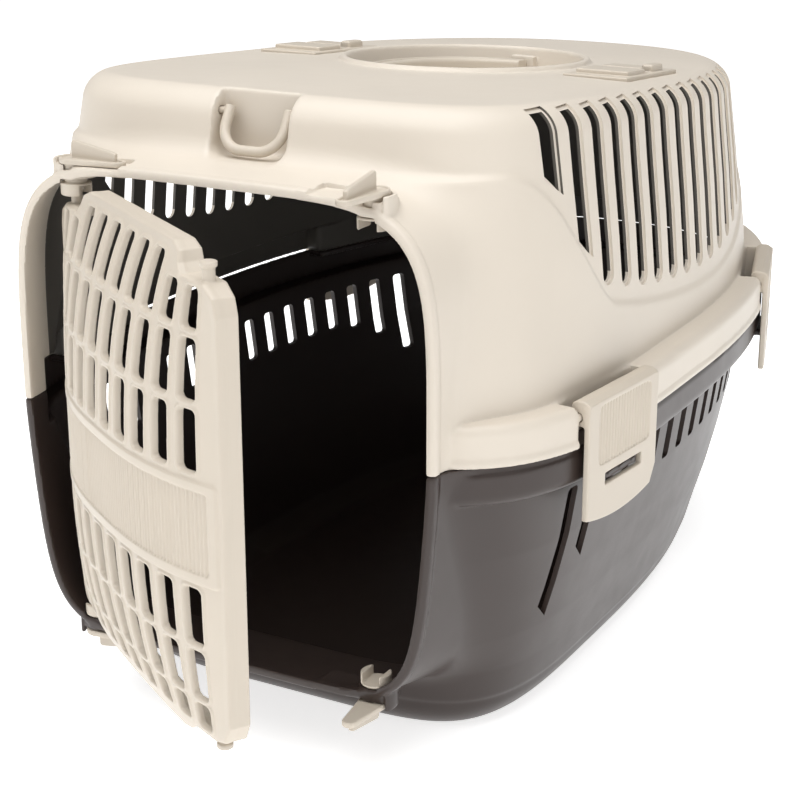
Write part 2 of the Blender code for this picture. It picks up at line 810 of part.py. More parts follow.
def door_pins():
    """Four headed pins, above and below the door's shoulders."""
    pins = []
    for side in (-1, 1):
        x = side * PIN_X
        pins.append(Solid().cylinder((x, KNOB_Y), 3.0, DOOR_SHOULDER - 3.0, 292.6, 14))
        pins.append(Solid().cylinder((x, KNOB_Y), 3.0, 57.4, 65.0, 14))
    return merged(pins)


def door_heads():
    heads = []
    for side in (-1, 1):
        heads.append(Solid().cylinder((side * PIN_X, KNOB_Y), 4.0, 291.0, 293.8, 16))
        heads.append(Solid().cylinder((side * PIN_X, KNOB_Y), 4.0, 56.2, 59.0, 16))
    return merged(heads)


def door(mat):
    """Grille door, made closed and turned open about its left pins."""
    turn = Matrix.Rotation(math.radians(-DOOR_OPEN_DEG), 4, "Z")
    origin = (-PIN_X, KNOB_Y, PARTING_Z)

    def made(solid, name):
        return helper(solid.object(name, None, origin, turn))

    obj = door_sheet().object("door", mat, origin, turn)
    boolean(obj, made(upright_prism(door_outline(0.6), KNOB_Y - 60, KNOB_Y + 30), "door_trim"), "INTERSECT")
    boolean(obj, made(door_cells(), "door_cell_set"))
    rim = made(upright_prism(door_outline(), KNOB_Y - DOOR_FRONT - 0.5, KNOB_Y + 7.0), "door_rim")
    boolean(rim, made(upright_prism(door_outline(4.0), KNOB_Y - 20, KNOB_Y + 20), "door_rim_inside"))
    boolean(obj, rim, "UNION")
    boolean(obj, made(door_pins(), "door_pin_set"), "UNION")
    boolean(obj, made(door_heads(), "door_head_set"), "UNION")
    return obj


# ---- clips ---------------------------------------------------------------------------------------


def clip_pivot(name):
    y_mid, side = CLIP_PLACES[name]
    return clip_place(y_mid, side)(0.0, -CLIP_PIVOT_INSET, CLIP_PIVOT_Z)


def side_clip(name, mat):
    """Clip on its bar: barrel at the top, plate with a window for the catch, curved lower end."""
    y_mid, side = CLIP_PLACES[name]
    place = clip_place(y_mid, side)
    half = CLIP_WIDTH / 2

    def plate_outline():
        lower = []
        for i in range(9):
            t = -half + CLIP_WIDTH * i / 8
            drop = 2.0 if i in (0, 8) else 0.0
            lower.append((t, 131.5 + 5.0 * abs((t + 3.0) / half) ** 2 + drop))
        return lower + [(half, 193.0), (-half, 193.0)]

    plate = Solid().stack([[(t, n, z) for t, z in plate_outline()] for n in (1.2, 4.7)])
    obj = plate.placed(place).object(f"side_clip_{name}", mat, clip_pivot(name))
    roll = [(-6.5, 185.5), (4.3, 185.5), (4.3, 194.5), (3.4, 197.2), (1.0, 199.0), (-2.5, 198.6), (-6.5, 195.0)]
    barrel = Solid().stack([[(t, n, z) for n, z in roll] for t in (-half + 0.4, half - 0.4)]).placed(place)
    boolean(obj, helper(barrel.object(f"clip_barrel_{name}")), "UNION")
    ring = circle((-CLIP_PIVOT_INSET, CLIP_PIVOT_Z), CLIP_BAR_RADIUS + 0.5, 14)
    bore = Solid().stack([[(t, n, z) for n, z in ring] for t in (-half - 5, half + 5)]).placed(place)
    boolean(obj, helper(bore.object(f"clip_bore_{name}")))
    snap = Solid().box((-half - 5, -12.0, CLIP_PIVOT_Z - 1.7), (half + 5, -2.5, CLIP_PIVOT_Z + 1.7))
    boolean(obj, helper(snap.placed(place).object(f"clip_snap_{name}")))
    window = Solid().box((-18.7, -2.0, 150.4), (19.9, 9.0, 156.9)).placed(place)
    boolean(obj, helper(window.object(f"clip_window_{name}")))
    return obj


# ---- handle, ring and belt guides ------------------------------------------------------------------

HANDLE_REACH = 52.0
HANDLE_HALF = 68.0


def handle_point(x, y, z):
    """A point given from the handle's axis: y along the roof, z square to it."""
    return (x, HANDLE_Y + y, handle_axis_z(HANDLE_Y + y) + z)


def carry_handle(mat):
    """Arched handle folded flat towards the left in the roof recess."""
    section = ((-6, -2), (-4, -4), (4, -4), (6, -2), (6, 2), (4, 4), (-4, 4), (-6, 2))
    loops = []
    steps = 12
    for i in range(steps + 1):
        a = math.radians(-90 + 180 * i / steps)
        c, s = math.cos(a), math.sin(a)
        length = math.hypot(c / HANDLE_REACH, s / HANDLE_HALF)
        nx, ny = -c / HANDLE_REACH / length, s / HANDLE_HALF / length
        loops.append([handle_point(-HANDLE_REACH * c + u * nx, HANDLE_HALF * s + u * ny, w)
                      for u, w in section])
    loops.insert(0, [(x + 5.0, y, z) for x, y, z in loops[0]])
    loops.append([(x + 5.0, y, z) for x, y, z in loops[-1]])
    obj = Solid().stack(loops).object("carry_handle", mat, (0.0, HANDLE_Y, handle_axis_z(HANDLE_Y)))
    journals = []
    for end in (-1, 1):
        y = HANDLE_Y + end * (HANDLE_HALF - 2.0)
        journals.append(Solid().stack([along_axis(y, 2.5), along_axis(y + end * 16.5, 2.5)]))
    boolean(obj, helper(merged(journals).object("handle_journals")), "UNION")
    return obj


def d_ring(mat):
    """Ring that hangs from two journals in the front of the hood."""
    down = np.array((0.0, -0.51, -0.86))
    normal = np.array((0.0, -0.86, 0.51))
    path = [(-RING_X, -2.7), (-RING_X, RING_LENGTH - 8)]
    for centre, first in ((-RING_X + 8, 180), (RING_X - 8, 90)):
        for i in range(1, 5):
            a = math.radians(first - 90 * i / 4)
            path.append((centre + 8 * math.cos(a), RING_LENGTH - 8 + 8 * math.sin(a)))
    path += [(RING_X, -2.7)]
    loops = []
    for i, (x, r) in enumerate(path):
        ahead = path[min(i + 1, len(path) - 1)]
        behind = path[max(i - 1, 0)]
        tx, tr = ahead[0] - behind[0], ahead[1] - behind[1]
        length = math.hypot(tx, tr)
        nx, nr = tr / length, -tx / length
        loop = []
        for k in range(10):
            a = 2 * math.pi * k / 10
            u, w = 2.75 * math.cos(a), 2.75 * math.sin(a)
            p = np.array((x + u * nx, RING_PIVOT_Y, RING_PIVOT_Z)) + (r + u * nr) * down + w * normal
            loop.append(tuple(p))
        loops.append(loop)
    obj = Solid().stack(loops).object("d_ring", mat, (0.0, RING_PIVOT_Y, RING_PIVOT_Z))
    points = circle((RING_PIVOT_Y, RING_PIVOT_Z), 1.8, 12)
    stubs = merged([Solid().stack([[(x, y, z) for y, z in points] for x in (side * 15.5, side * 25.0)])
                    for side in (-1, 1)])
    boolean(obj, helper(stubs.object("ring_journals")), "UNION")
    return obj


def belt_guide(name, side, mat):
    """Belt guide: seat plate with a slot, a raised front tab and an arch behind the slot."""
    x0, y0 = side * GUIDE_X, GUIDE_Y

    def sheet(low, high, drop, top):
        outline = rounded_box((x0 + low[0], y0 + low[1]), (x0 + high[0], y0 + high[1]), 2.5, 2)
        return Solid().stack([[(x, y, roof_z(y) + h) for x, y in outline] for h in (-drop, top)])

    plate = sheet((-19.5, -38.5), (19.5, 38.5), GUIDE_SEAT - 0.3, 0.4)
    obj = plate.object(name, mat, (x0, y0, roof_z(y0)))
    boolean(obj, helper(sheet((-15.0, -1.5), (15.0, 8.0), 8.0, 9.0).object(name + "_slot")))
    boolean(obj, helper(sheet((-16.0, -28.0), (16.0, -1.8), 1.0, 3.0).object(name + "_tab")), "UNION")
    boolean(obj, helper(sheet((9.0, 8.5), (16.0, 26.0), 1.0, 4.5).object(name + "_hook")), "UNION")
    return obj


def build():
    clear_scene()
    beige = material("beige_shell", BEIGE, 0.45)
    warm = material("beige_fittings", WARM_BEIGE, 0.45)
    dark = material("dark_shell", DARK, 0.5)
    top_shell(beige)
    bottom_shell(dark)
    door(warm)
    for name, (side, up) in KNOBS.items():
        knob(f"latch_knob_{name}", side, up, warm)
    for name in CLIP_PLACES:
        side_clip(name, warm)
    carry_handle(warm)
    d_ring(warm)
    belt_guide("belt_guide_left", -1, warm)
    belt_guide("belt_guide_right", 1, warm)


build()
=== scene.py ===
"""Looks of the pet transport carrier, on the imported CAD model.

Every visible piece is a dense surface drawn from a distance field, so that moulded fillets, beads and
ribs are real shapes. The air slits are cut into the two shells afterwards as prisms, which keeps their
edges crisp. Lengths are millimetres until a mesh is made.
"""

import math

import bmesh
import bpy
import numpy as np
import openvdb
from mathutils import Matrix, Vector


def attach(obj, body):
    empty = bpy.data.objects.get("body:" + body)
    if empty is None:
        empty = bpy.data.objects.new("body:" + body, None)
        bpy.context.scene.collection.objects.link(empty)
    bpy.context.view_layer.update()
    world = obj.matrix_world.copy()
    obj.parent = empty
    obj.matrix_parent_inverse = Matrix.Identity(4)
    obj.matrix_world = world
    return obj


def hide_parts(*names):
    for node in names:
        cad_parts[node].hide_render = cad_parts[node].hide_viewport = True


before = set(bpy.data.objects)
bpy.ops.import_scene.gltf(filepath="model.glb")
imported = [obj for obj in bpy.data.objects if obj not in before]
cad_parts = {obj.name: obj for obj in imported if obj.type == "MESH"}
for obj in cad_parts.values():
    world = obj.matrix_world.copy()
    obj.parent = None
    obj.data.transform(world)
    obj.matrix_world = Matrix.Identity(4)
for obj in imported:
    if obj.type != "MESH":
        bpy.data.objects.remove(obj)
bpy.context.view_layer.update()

MM = 0.001

# Driving sizes. CLIPS gives where along y the middle of each clip is. FORK_REACH is keyed by 1 for the
# upper knobs and by -1 for the lower ones.
PARTING_Z = 175.0
PARTING_GAP = 0.04
WALL = 3.0
ROOF_Z_FRONT = 347.7
ROOF_SLOPE = 0.068
ROOF_CROWN = 1.8
ROOF_EDGE = 14.0
TRAY_EDGE = 16.0
KNOB_Y = -275.0
MOUTH_Y = -283.0
PLAN_MID_Y = -65.0
FRONT_ROUNDNESS = 4.3
LOWER_FRONT_ROUNDNESS = 4.9
REAR_ROUNDNESS = 2.3
BELT_HALF_WIDTH = 176.8
BELT_FRONT = -282.0
BELT_REAR = 258.8
BELT_TOP_Z = 196.4
BELT_LIP = 1.0
BAND_BOTTOM_Z = 154.0
BAND_HALF_WIDTH = 174.2
MOUTH_HALF_WIDTH = 123.4
MOUTH_TOP = 131.2
MOUTH_BOTTOM = 128.6
MOUTH_WALL = 4.0
UPPER_COLLAR_END = -222.0
LOWER_COLLAR_END = -212.0
COLLAR_FILLET = 9.0
MOUTH_ROUNDNESS_TOP = 5.1
MOUTH_ROUNDNESS_BOTTOM = 7.0
NECK_FLARE = 0.16
SLIT_PITCH = 21.9
SLIT_FIRST_Y = -192.0
SLIT_WIDTH = 9.6
SLIT_RECESS = 1.6
SLIT_SLANT = 9.0
SLIT_CORNER = 2.6
UPPER_SLITS = 17
LOWER_SLITS = 18
LOWER_SLIT_TOP = 146.0
HOOD_LOW_Y = 4.8
DOOR_OPEN = math.radians(33.0)
PIN_X = 87.5
PIN_RADIUS = 3.0
PIN_HEAD_RADIUS = 4.0
DOOR_HALF_WIDTH = 103.0
DOOR_BULGE = 21.0
DOOR_FRONT = 3.5
DOOR_SHEET = 3.2
KNOB_TOP_SEAT = 302.0
KNOB_BOTTOM_SEAT = 46.0
KNOB_TOP_INNER = 298.0
KNOB_BOTTOM_INNER = 53.5
LEVER_LIFT = {"top_left": 3.6, "top_right": 5.4, "bottom_left": 0.4, "bottom_right": 0.4}
FLAT_TOP_Z = 305.3
FLAT_BOTTOM_Z = 46.0
FLAT_LEFT = 55.5
FLAT_RIGHT = 96.5
LEVER_LENGTH = 27.0
LEVER_THICK = 2.6
FORK_RADIUS = 8.0
FORK_REACH = {1: 16.4, -1: 15.1}
FORK_HEIGHT = 6.5
FORK_BASE = 1.3
FORK_GAP = 4.9
CLIPS = {"front": -173.7, "rear": 110.0}
CLIP_WIDTH = 73.0
CLIP_NOTCH = 77.0
CLIP_NOTCH_DEPTH = 13.0
CLIP_PIVOT_Z = 190.3
CLIP_PIVOT_INSET = 2.5
CLIP_BAR_RADIUS = 2.2
CLIP_FACE = 4.7
CLIP_TOP_Z = 199.0
CLIP_LOW_Z = 131.5
HANDLE_Y = -8.0
HANDLE_REACH = 52.0
HANDLE_HALF = 68.0
HANDLE_AXIS_DROP = 8.5
RECESS_X = 66.0
RECESS_Y = 86.0
RECESS_DEPTH = 16.0
RING_X = 17.6
RING_PIVOT_Y = -237.0
RING_PIVOT_Z = 332.0
RING_LENGTH = 20.2
RING_POCKET_FLOOR = 310.5
RING_POCKET_HALF = 22.3
RING_POCKET_BACK = -231.8
GUIDE_X = 101.0
GUIDE_Y = -11.0
GUIDE_SEAT = 3.2
GUIDE_HALF_X = 20.0
GUIDE_HALF_Y = 39.0

SHELL_STEP = 1.3
DOOR_STEP = 0.62
# Painted shade: inner faces of the upper shell within this reach and behind this y are darkened in colour to
# stand in for the shadow inside.
PAINTED_SHADE_REACH = 0.7
PAINTED_SHADE_FRONT = -262.0
FITTING_STEP = 0.42


# ---- distance fields -------------------------------------------------------------------------------


class Grid:
    """A box of sample points; x, y and z are broadcastable arrays."""

    def __init__(self, low, high, step):
        self.low = np.array(low, np.float32)
        self.step = step
        axes = [np.arange(a, b + step, step, dtype=np.float32) for a, b in zip(low, high)]
        self.x = axes[0][:, None, None]
        self.y = axes[1][None, :, None]
        self.z = axes[2][None, None, :]


def union(*fields):
    total = fields[0]
    for field in fields[1:]:
        total = np.minimum(total, field)
    return total


def cross(*fields):
    total = fields[0]
    for field in fields[1:]:
        total = np.maximum(total, field)
    return total


def cut(a, b):
    return np.maximum(a, -b)


def round_union(a, b, r):
    u, v = np.maximum(r - a, 0), np.maximum(r - b, 0)
    return np.maximum(r, np.minimum(a, b)) - np.sqrt(u * u + v * v)


def round_cross(a, b, r):
    u, v = np.maximum(r + a, 0), np.maximum(r + b, 0)
    return np.minimum(-r, np.maximum(a, b)) + np.sqrt(u * u + v * v)


def round_cut(a, b, r):
    return round_cross(a, -b, r)


def box_field(x, y, z, low, high, r=0.0):
    """Box with rounded edges in any three coordinates."""
    outside, inside = 0.0, -1e9
    for value, a, b in zip((x, y, z), low, high):
        q = np.abs(value - (a + b) / 2) - (b - a) / 2 + r
        outside = outside + np.maximum(q, 0) ** 2
        inside = np.maximum(inside, q)
    return np.sqrt(outside) + np.minimum(inside, 0) - r


def rect_field(u, v, low, high, r=0.0):
    """Rounded rectangle in two coordinates."""
    qu = np.abs(u - (low[0] + high[0]) / 2) - (high[0] - low[0]) / 2 + r
    qv = np.abs(v - (low[1] + high[1]) / 2) - (high[1] - low[1]) / 2 + r
    return np.hypot(np.maximum(qu, 0), np.maximum(qv, 0)) + np.minimum(np.maximum(qu, qv), 0) - r


def polygon_field(u, v, points):
    """Signed distance to a closed outline in two coordinates."""
    u, v = np.broadcast_arrays(u, v)
    nearest = np.full(u.shape, 1e9, np.float32)
    inside = np.zeros(u.shape, bool)
    for (ax, ay), (bx, by) in zip(points, points[1:] + points[:1]):
        ex, ey = bx - ax, by - ay
        t = np.clip(((u - ax) * ex + (v - ay) * ey) / (ex * ex + ey * ey), 0, 1)
        nearest = np.minimum(nearest, (u - ax - t * ex) ** 2 + (v - ay - t * ey) ** 2)
        if ay != by:
            crosses = (ay > v) != (by > v)
            inside ^= crosses & (u < ex * (v - ay) / ey + ax)
    nearest = np.sqrt(nearest)
    return np.where(inside, -nearest, nearest)


def smoothstep(t):
    t = np.clip(t, 0, 1)
    return t * t * (3 - 2 * t)


def sample(field, place):
    """Field values at fractional grid places."""
    base = np.floor(place).astype(int)
    for axis in range(3):
        base[:, axis] = np.clip(base[:, axis], 0, field.shape[axis] - 2)
    part = place - base
    total = 0.0
    for corner in range(8):
        i, j, k = corner & 1, (corner >> 1) & 1, corner >> 2
        weight = (part[:, 0] if i else 1 - part[:, 0]) * (part[:, 1] if j else 1 - part[:, 1])
        weight = weight * (part[:, 2] if k else 1 - part[:, 2])
        total = total + weight * field[base[:, 0] + i, base[:, 1] + j, base[:, 2] + k]
    return total


def settle(field, points):
    """Moves grid places onto the surface along the field's slope."""
    slope = np.stack([(sample(field, points + 0.5 * e) - sample(field, points - 0.5 * e))
                      for e in np.eye(3)], 1)
    value = sample(field, points)
    size = np.maximum((slope**2).sum(1), 1e-6)
    move = np.clip(-value / size, -2, 2)[:, None] * slope
    length = np.maximum(np.linalg.norm(move, axis=1, keepdims=True), 1e-9)
    return points + move * np.minimum(1, 0.4 / length)


def surface(name, grid, field, mirror=False, place=None):
    """A smooth closed mesh of the field's zero surface. mirror repeats the field across x = 0."""
    low = np.array(grid.low, float)
    field = field.astype(np.float32)
    if mirror:
        field = np.concatenate([field[:0:-1], field])
        low[0] = -(field.shape[0] // 2) * grid.step
    limit = 3 * grid.step
    field = np.clip(field, -limit, limit)
    volume = openvdb.FloatGrid(background=limit)
    volume.copyFromArray(field)
    points, quads = volume.convertToQuads(isovalue=0.0)
    points = settle(field, points.astype(float))
    points = points * grid.step + low
    if place is not None:
        points = place(points)
    return mesh_object(name, points, quads)


def mesh_object(name, points, quads):
    mesh = bpy.data.meshes.new(name)
    corner = points[quads]
    area = np.cross(corner[:, 2] - corner[:, 0], corner[:, 3] - corner[:, 1])
    if (corner.mean(1) * area).sum() < 0:
        quads = quads[:, ::-1]
    mesh.vertices.add(len(points))
    mesh.vertices.foreach_set("co", (points * MM).astype(np.float32).ravel())
    mesh.loops.add(quads.size)
    mesh.loops.foreach_set("vertex_index", quads.astype(np.int32).ravel())
    mesh.polygons.add(len(quads))
    mesh.polygons.foreach_set("loop_start", np.arange(0, quads.size, 4, dtype=np.int32))
    mesh.update(calc_edges=True)
    mesh.shade_smooth()
    obj = bpy.data.objects.new(name, mesh)
    bpy.context.scene.collection.objects.link(obj)
    return obj


def finish_piece(obj, node, body, mat):
    obj.data.materials.append(mat)
    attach(obj, body)
    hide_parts(node)


# ---- materials -------------------------------------------------------------------------------------


def plastic(name, colour, roughness, grain, stripes=False):
    """Moulded plastic: faint colour drift, uneven gloss and a fine grain.

    Faces marked by the inner-face attribute get painted shade, a much darker colour standing in for the
    shadow inside the shell; stripes adds the roof's pin-stripes.
    """
    mat = bpy.data.materials.new(name)
    mat.use_nodes = True
    nodes, links = mat.node_tree.nodes, mat.node_tree.links
    shader = nodes["Principled BSDF"]
    where = nodes.new("ShaderNodeTexCoord")
    drift = nodes.new("ShaderNodeTexNoise")
    drift.inputs["Scale"].default_value = 9.0
    drift.inputs["Detail"].default_value = 3.0
    links.new(where.outputs["Object"], drift.inputs["Vector"])
    ramp = nodes.new("ShaderNodeValToRGB")
    ramp.color_ramp.elements[0].position = 0.3
    ramp.color_ramp.elements[0].color = (*[c * 0.965 for c in colour], 1)
    ramp.color_ramp.elements[1].position = 0.7
    ramp.color_ramp.elements[1].color = (*[min(1.0, c * 1.02) for c in colour], 1)
    links.new(drift.outputs["Fac"], ramp.inputs["Fac"])
    # Painted shade: marked faces are mixed towards 0.16 of the base colour, standing in for the shadow inside
    # the upper shell.
    painted_shade_mask = nodes.new("ShaderNodeAttribute")
    painted_shade_mask.attribute_name = "painted_inner_shade"
    shadow = nodes.new("ShaderNodeMix")
    shadow.data_type = "RGBA"
    shadow.inputs["B"].default_value = (*[c * 0.16 for c in colour], 1)
    links.new(painted_shade_mask.outputs["Fac"], shadow.inputs["Factor"])
    links.new(ramp.outputs["Color"], shadow.inputs["A"])
    links.new(shadow.outputs["Result"], shader.inputs["Base Color"])
    gloss = nodes.new("ShaderNodeTexNoise")
    gloss.inputs["Scale"].default_value = 60.0
    gloss.inputs["Detail"].default_value = 4.0
    links.new(where.outputs["Object"], gloss.inputs["Vector"])
    spread = nodes.new("ShaderNodeMapRange")
    spread.inputs["To Min"].default_value = roughness - 0.05
    spread.inputs["To Max"].default_value = roughness + 0.06
    links.new(gloss.outputs["Fac"], spread.inputs["Value"])
    links.new(spread.outputs["Result"], shader.inputs["Roughness"])
    fine = nodes.new("ShaderNodeTexNoise")
    fine.inputs["Scale"].default_value = 1600.0
    fine.inputs["Detail"].default_value = 2.0
    links.new(where.outputs["Object"], fine.inputs["Vector"])
    bump = nodes.new("ShaderNodeBump")
    bump.inputs["Strength"].default_value = grain
    bump.inputs["Distance"].default_value = 0.00004
    links.new(fine.outputs["Fac"], bump.inputs["Height"])
    links.new(bump.outputs["Normal"], shader.inputs["Normal"])
    if stripes:
        add_stripes(nodes, links, where, bump)
    shader.inputs["IOR"].default_value = 1.46
    return mat


def add_stripes(nodes, links, where, bump):
    """Fine lengthwise ribs on the faces that look up."""
    wave = nodes.new("ShaderNodeTexWave")
    wave.wave_type = "BANDS"
    wave.bands_direction = "X"
    wave.inputs["Scale"].default_value = 160.0
    links.new(where.outputs["Object"], wave.inputs["Vector"])
    split = nodes.new("ShaderNodeSeparateXYZ")
    links.new(where.outputs["Normal"], split.inputs["Vector"])
    up = nodes.new("ShaderNodeMapRange")
    up.inputs["From Min"].default_value = 0.985
    up.inputs["From Max"].default_value = 0.996
    links.new(split.outputs["Z"], up.inputs["Value"])
    height = nodes.new("ShaderNodeMath")
    height.operation = "MULTIPLY"
    links.new(wave.outputs["Fac"], height.inputs[0])
    links.new(up.outputs["Result"], height.inputs[1])
    ribs = nodes.new("ShaderNodeBump")
    ribs.inputs["Strength"].default_value = 0.35
    ribs.inputs["Distance"].default_value = 0.0001
    links.new(height.outputs["Value"], ribs.inputs["Height"])
    links.new(ribs.outputs["Normal"], bump.inputs["Normal"])


# ---- shells ----------------------------------------------------------------------------------------

# Height, half-width, front and rear of the walls
UPPER_WALL = (
    (175.0, 226.0, 265.0, 298.0, 325.0, 352.0),
    (164.5, 157.8, 153.8, 149.8, 146.8, 144.0),
    (-282.0, -270.0, -261.0, -252.8, -246.8, -241.5),
    (246.5, 238.0, 231.0, 223.5, 217.5, 211.5),
)
LOWER_WALL = (
    (0.0, 15.0, 40.0, 63.0, 89.0, 118.0, 175.0),
    (126.0, 130.5, 137.5, 144.5, 151.0, 157.0, 164.5),
    (-226.0, -229.0, -235.0, -243.0, -251.0, -262.0, -282.0),
    (221.0, 224.0, 228.0, 232.0, 236.0, 240.0, 246.5),
)


def roof_z(y):
    return ROOF_Z_FRONT - ROOF_SLOPE * (y - KNOB_Y)


def plan_field(grid, half_width, front, rear, front_roundness=FRONT_ROUNDNESS):
    """Distance sideways to a plan outline, squarish in front and round behind."""
    parts = []
    u = np.abs(grid.x) / half_width
    for at_front in (True, False):
        y = grid.y[:, grid.y[0, :, 0] < PLAN_MID_Y] if at_front else grid.y[:, grid.y[0, :, 0] >= PLAN_MID_Y]
        n = front_roundness if at_front else REAR_ROUNDNESS
        length = PLAN_MID_Y - front if at_front else rear - PLAN_MID_Y
        v = np.abs(y - PLAN_MID_Y) / length
        level = u**n + v**n - 1
        slope = (u ** (n - 1) / half_width) ** 2 + (v ** (n - 1) / length) ** 2
        parts.append(level / (n * np.sqrt(slope) + 1e-6))
    return np.clip(np.concatenate(parts, 1), -90, 90).astype(np.float32)


def wall_field(grid, wall, front_roundness=FRONT_ROUNDNESS):
    z = grid.z[0, 0]
    half_width, front, rear = (np.interp(z, wall[0], row).astype(np.float32) for row in wall[1:])
    return plan_field(grid, half_width, front, rear, front_roundness)


def mouth_field(grid, upper):
    """Distance to the mouth's outline, which widens with the collar's flare."""
    out = NECK_FLARE * np.maximum(0, grid.y - MOUTH_Y)
    if upper:
        height, width, n = MOUTH_TOP + out, MOUTH_HALF_WIDTH + out, MOUTH_ROUNDNESS_TOP
    else:
        height, n = MOUTH_BOTTOM + out, MOUTH_ROUNDNESS_BOTTOM
        depth = np.clip((PARTING_Z - grid.z) / height, 0, 1.1)
        width = MOUTH_HALF_WIDTH + out - 12.0 * depth**1.3
    u = np.abs(grid.x) / width
    v = np.abs(grid.z - PARTING_Z) / height
    level = u**n + v**n - 1
    slope = (u ** (n - 1) / width) ** 2 + (v ** (n - 1) / height) ** 2
    return np.clip(level / (n * np.sqrt(slope) + 1e-6), -90, 90).astype(np.float32)


def half_width_at(y, half_width, front, rear):
    if y < PLAN_MID_Y:
        share, n = (PLAN_MID_Y - y) / (PLAN_MID_Y - front), FRONT_ROUNDNESS
    else:
        share, n = (y - PLAN_MID_Y) / (rear - PLAN_MID_Y), REAR_ROUNDNESS
    return half_width * (1 - min(share, 0.9999) ** n) ** (1 / n)


def clip_frame(y_mid):
    """Middle point and direction of the clip's chord on the right side."""
    ends = [y_mid - CLIP_NOTCH / 2, y_mid + CLIP_NOTCH / 2]
    x0, x1 = (half_width_at(y, BELT_HALF_WIDTH, BELT_FRONT, BELT_REAR) for y in ends)
    length = math.hypot(x1 - x0, CLIP_NOTCH)
    return (x0 + x1) / 2, y_mid, (x1 - x0) / length, CLIP_NOTCH / length


def clip_coordinates(grid, y_mid):
    """t along the belt and n outwards, for the right-hand clip."""
    mx, my, tx, ty = clip_frame(y_mid)
    dx, dy = grid.x - mx, grid.y - my
    return dx * tx + dy * ty, dx * ty - dy * tx


def clip_axis(n, z):
    """Distance from the clip's pivot line."""
    return np.hypot(n + CLIP_PIVOT_INSET, z - CLIP_PIVOT_Z)


def hood_rise(y):
    """How far the hood line, which runs under the upper slits, has risen from its lowest point."""
    ahead, behind = np.maximum(0, HOOD_LOW_Y - y), np.maximum(0, y - HOOD_LOW_Y)
    return 8.4e-4 * ahead**2 + 1.7e-3 * behind**2


def slit_bottom_upper(y):
    return 224.0 + hood_rise(y) + 0.0178 * np.maximum(0, -144.0 - y) ** 2


def slit_bottom_lower(y):
    ahead, behind = max(0.0, -126.4 - y), max(0.0, y - 70.5)
    return 119.0 - 0.0120 * ahead**2 - 0.0063 * behind**2


def slit_outline(y, upper, grow=0.0, more_top=0.0):
    """Outline in y and z of the slit at y, moved out by grow; the first two end in a slanted point."""
    half = SLIT_WIDTH / 2 + grow
    bottom = (slit_bottom_upper(y) if upper else slit_bottom_lower(y)) - grow
    top = (roof_z(y) - 5.7 if upper else LOWER_SLIT_TOP) + more_top
    slanted = y < SLIT_FIRST_Y + 1.5 * SLIT_PITCH
    if slanted:
        low = [(y + half, bottom), (y - half, bottom + SLIT_SLANT)]
    else:
        radius = half - 0.2 if upper else SLIT_CORNER
        low = corner_points(y, half, bottom, radius, 1)
    if upper:
        return low + [(y - half, top), (y + half, top)]
    return low + corner_points(y, half, top, SLIT_CORNER, -1)


def corner_points(y, half, z, radius, up):
    """Two rounded corners of an upright slot's end at z, from its rear side round to its front side."""
    points = []
    steps = 6
    for first, centre in ((0, y + half - radius), (90, y - half + radius)):
        for i in range(steps + 1):
            a = math.radians(first + 90 * i / steps)
            points.append((centre + radius * math.cos(a), z + up * radius * (1 - math.sin(a))))
    return points if up > 0 else points[::-1]


def slit_depth(y, upper):
    """Half-width at which the slit's cutter starts."""
    if upper:
        return half_width_at(y, 145.6, -244.5, 216.0) - 9.5
    return 0.75 * half_width_at(y, 128.6, -227.0, 222.0)


def slit_cutter(name, upper, grow=0.0, more_top=0.0):
    """Upright prisms through both side walls, as one mesh."""
    points, faces = [], []
    for side in (-1, 1):
        for index in range(UPPER_SLITS if upper else LOWER_SLITS):
            y = SLIT_FIRST_Y + SLIT_PITCH * index
            outline = slit_outline(y, upper, grow, more_top)
            base, count = len(points), len(outline)
            for x in (slit_depth(y, upper) - grow, 210.0):
                points += [(side * x * MM, a * MM, z * MM) for a, z in outline]
            for i in range(count):
                j = (i + 1) % count
                faces.append((base + i, base + j, base + count + j, base + count + i))
            faces.append(tuple(range(base + count - 1, base - 1, -1)))
            faces.append(tuple(range(base + count, base + 2 * count)))
    mesh = bpy.data.meshes.new(name)
    mesh.from_pydata(points, [], faces)
    work = bmesh.new()
    work.from_mesh(mesh)
    bmesh.ops.recalc_face_normals(work, faces=work.faces)
    work.to_mesh(mesh)
    work.free()
    obj = bpy.data.objects.new(name, mesh)
    bpy.context.scene.collection.objects.link(obj)
    return obj


def carve(obj, *steps):
    """Runs Booleans on obj, keeps the result and removes the cutters."""
    for cutter, operation in steps:
        modifier = obj.modifiers.new(cutter.name, "BOOLEAN")
        modifier.object = cutter
        modifier.operation = operation
        modifier.solver = "MANIFOLD"
    graph = bpy.context.evaluated_depsgraph_get()
    mesh = bpy.data.meshes.new_from_object(obj.evaluated_get(graph))
    obj.modifiers.clear()
    obj.data = mesh
    mesh.materials.clear()
    mesh.polygons.foreach_set("material_index", np.zeros(len(mesh.polygons), np.int32))
    for cutter, _ in steps:
        bpy.data.objects.remove(cutter)
    mesh.shade_smooth()
    mesh.set_sharp_from_angle(angle=math.radians(38))
    return obj


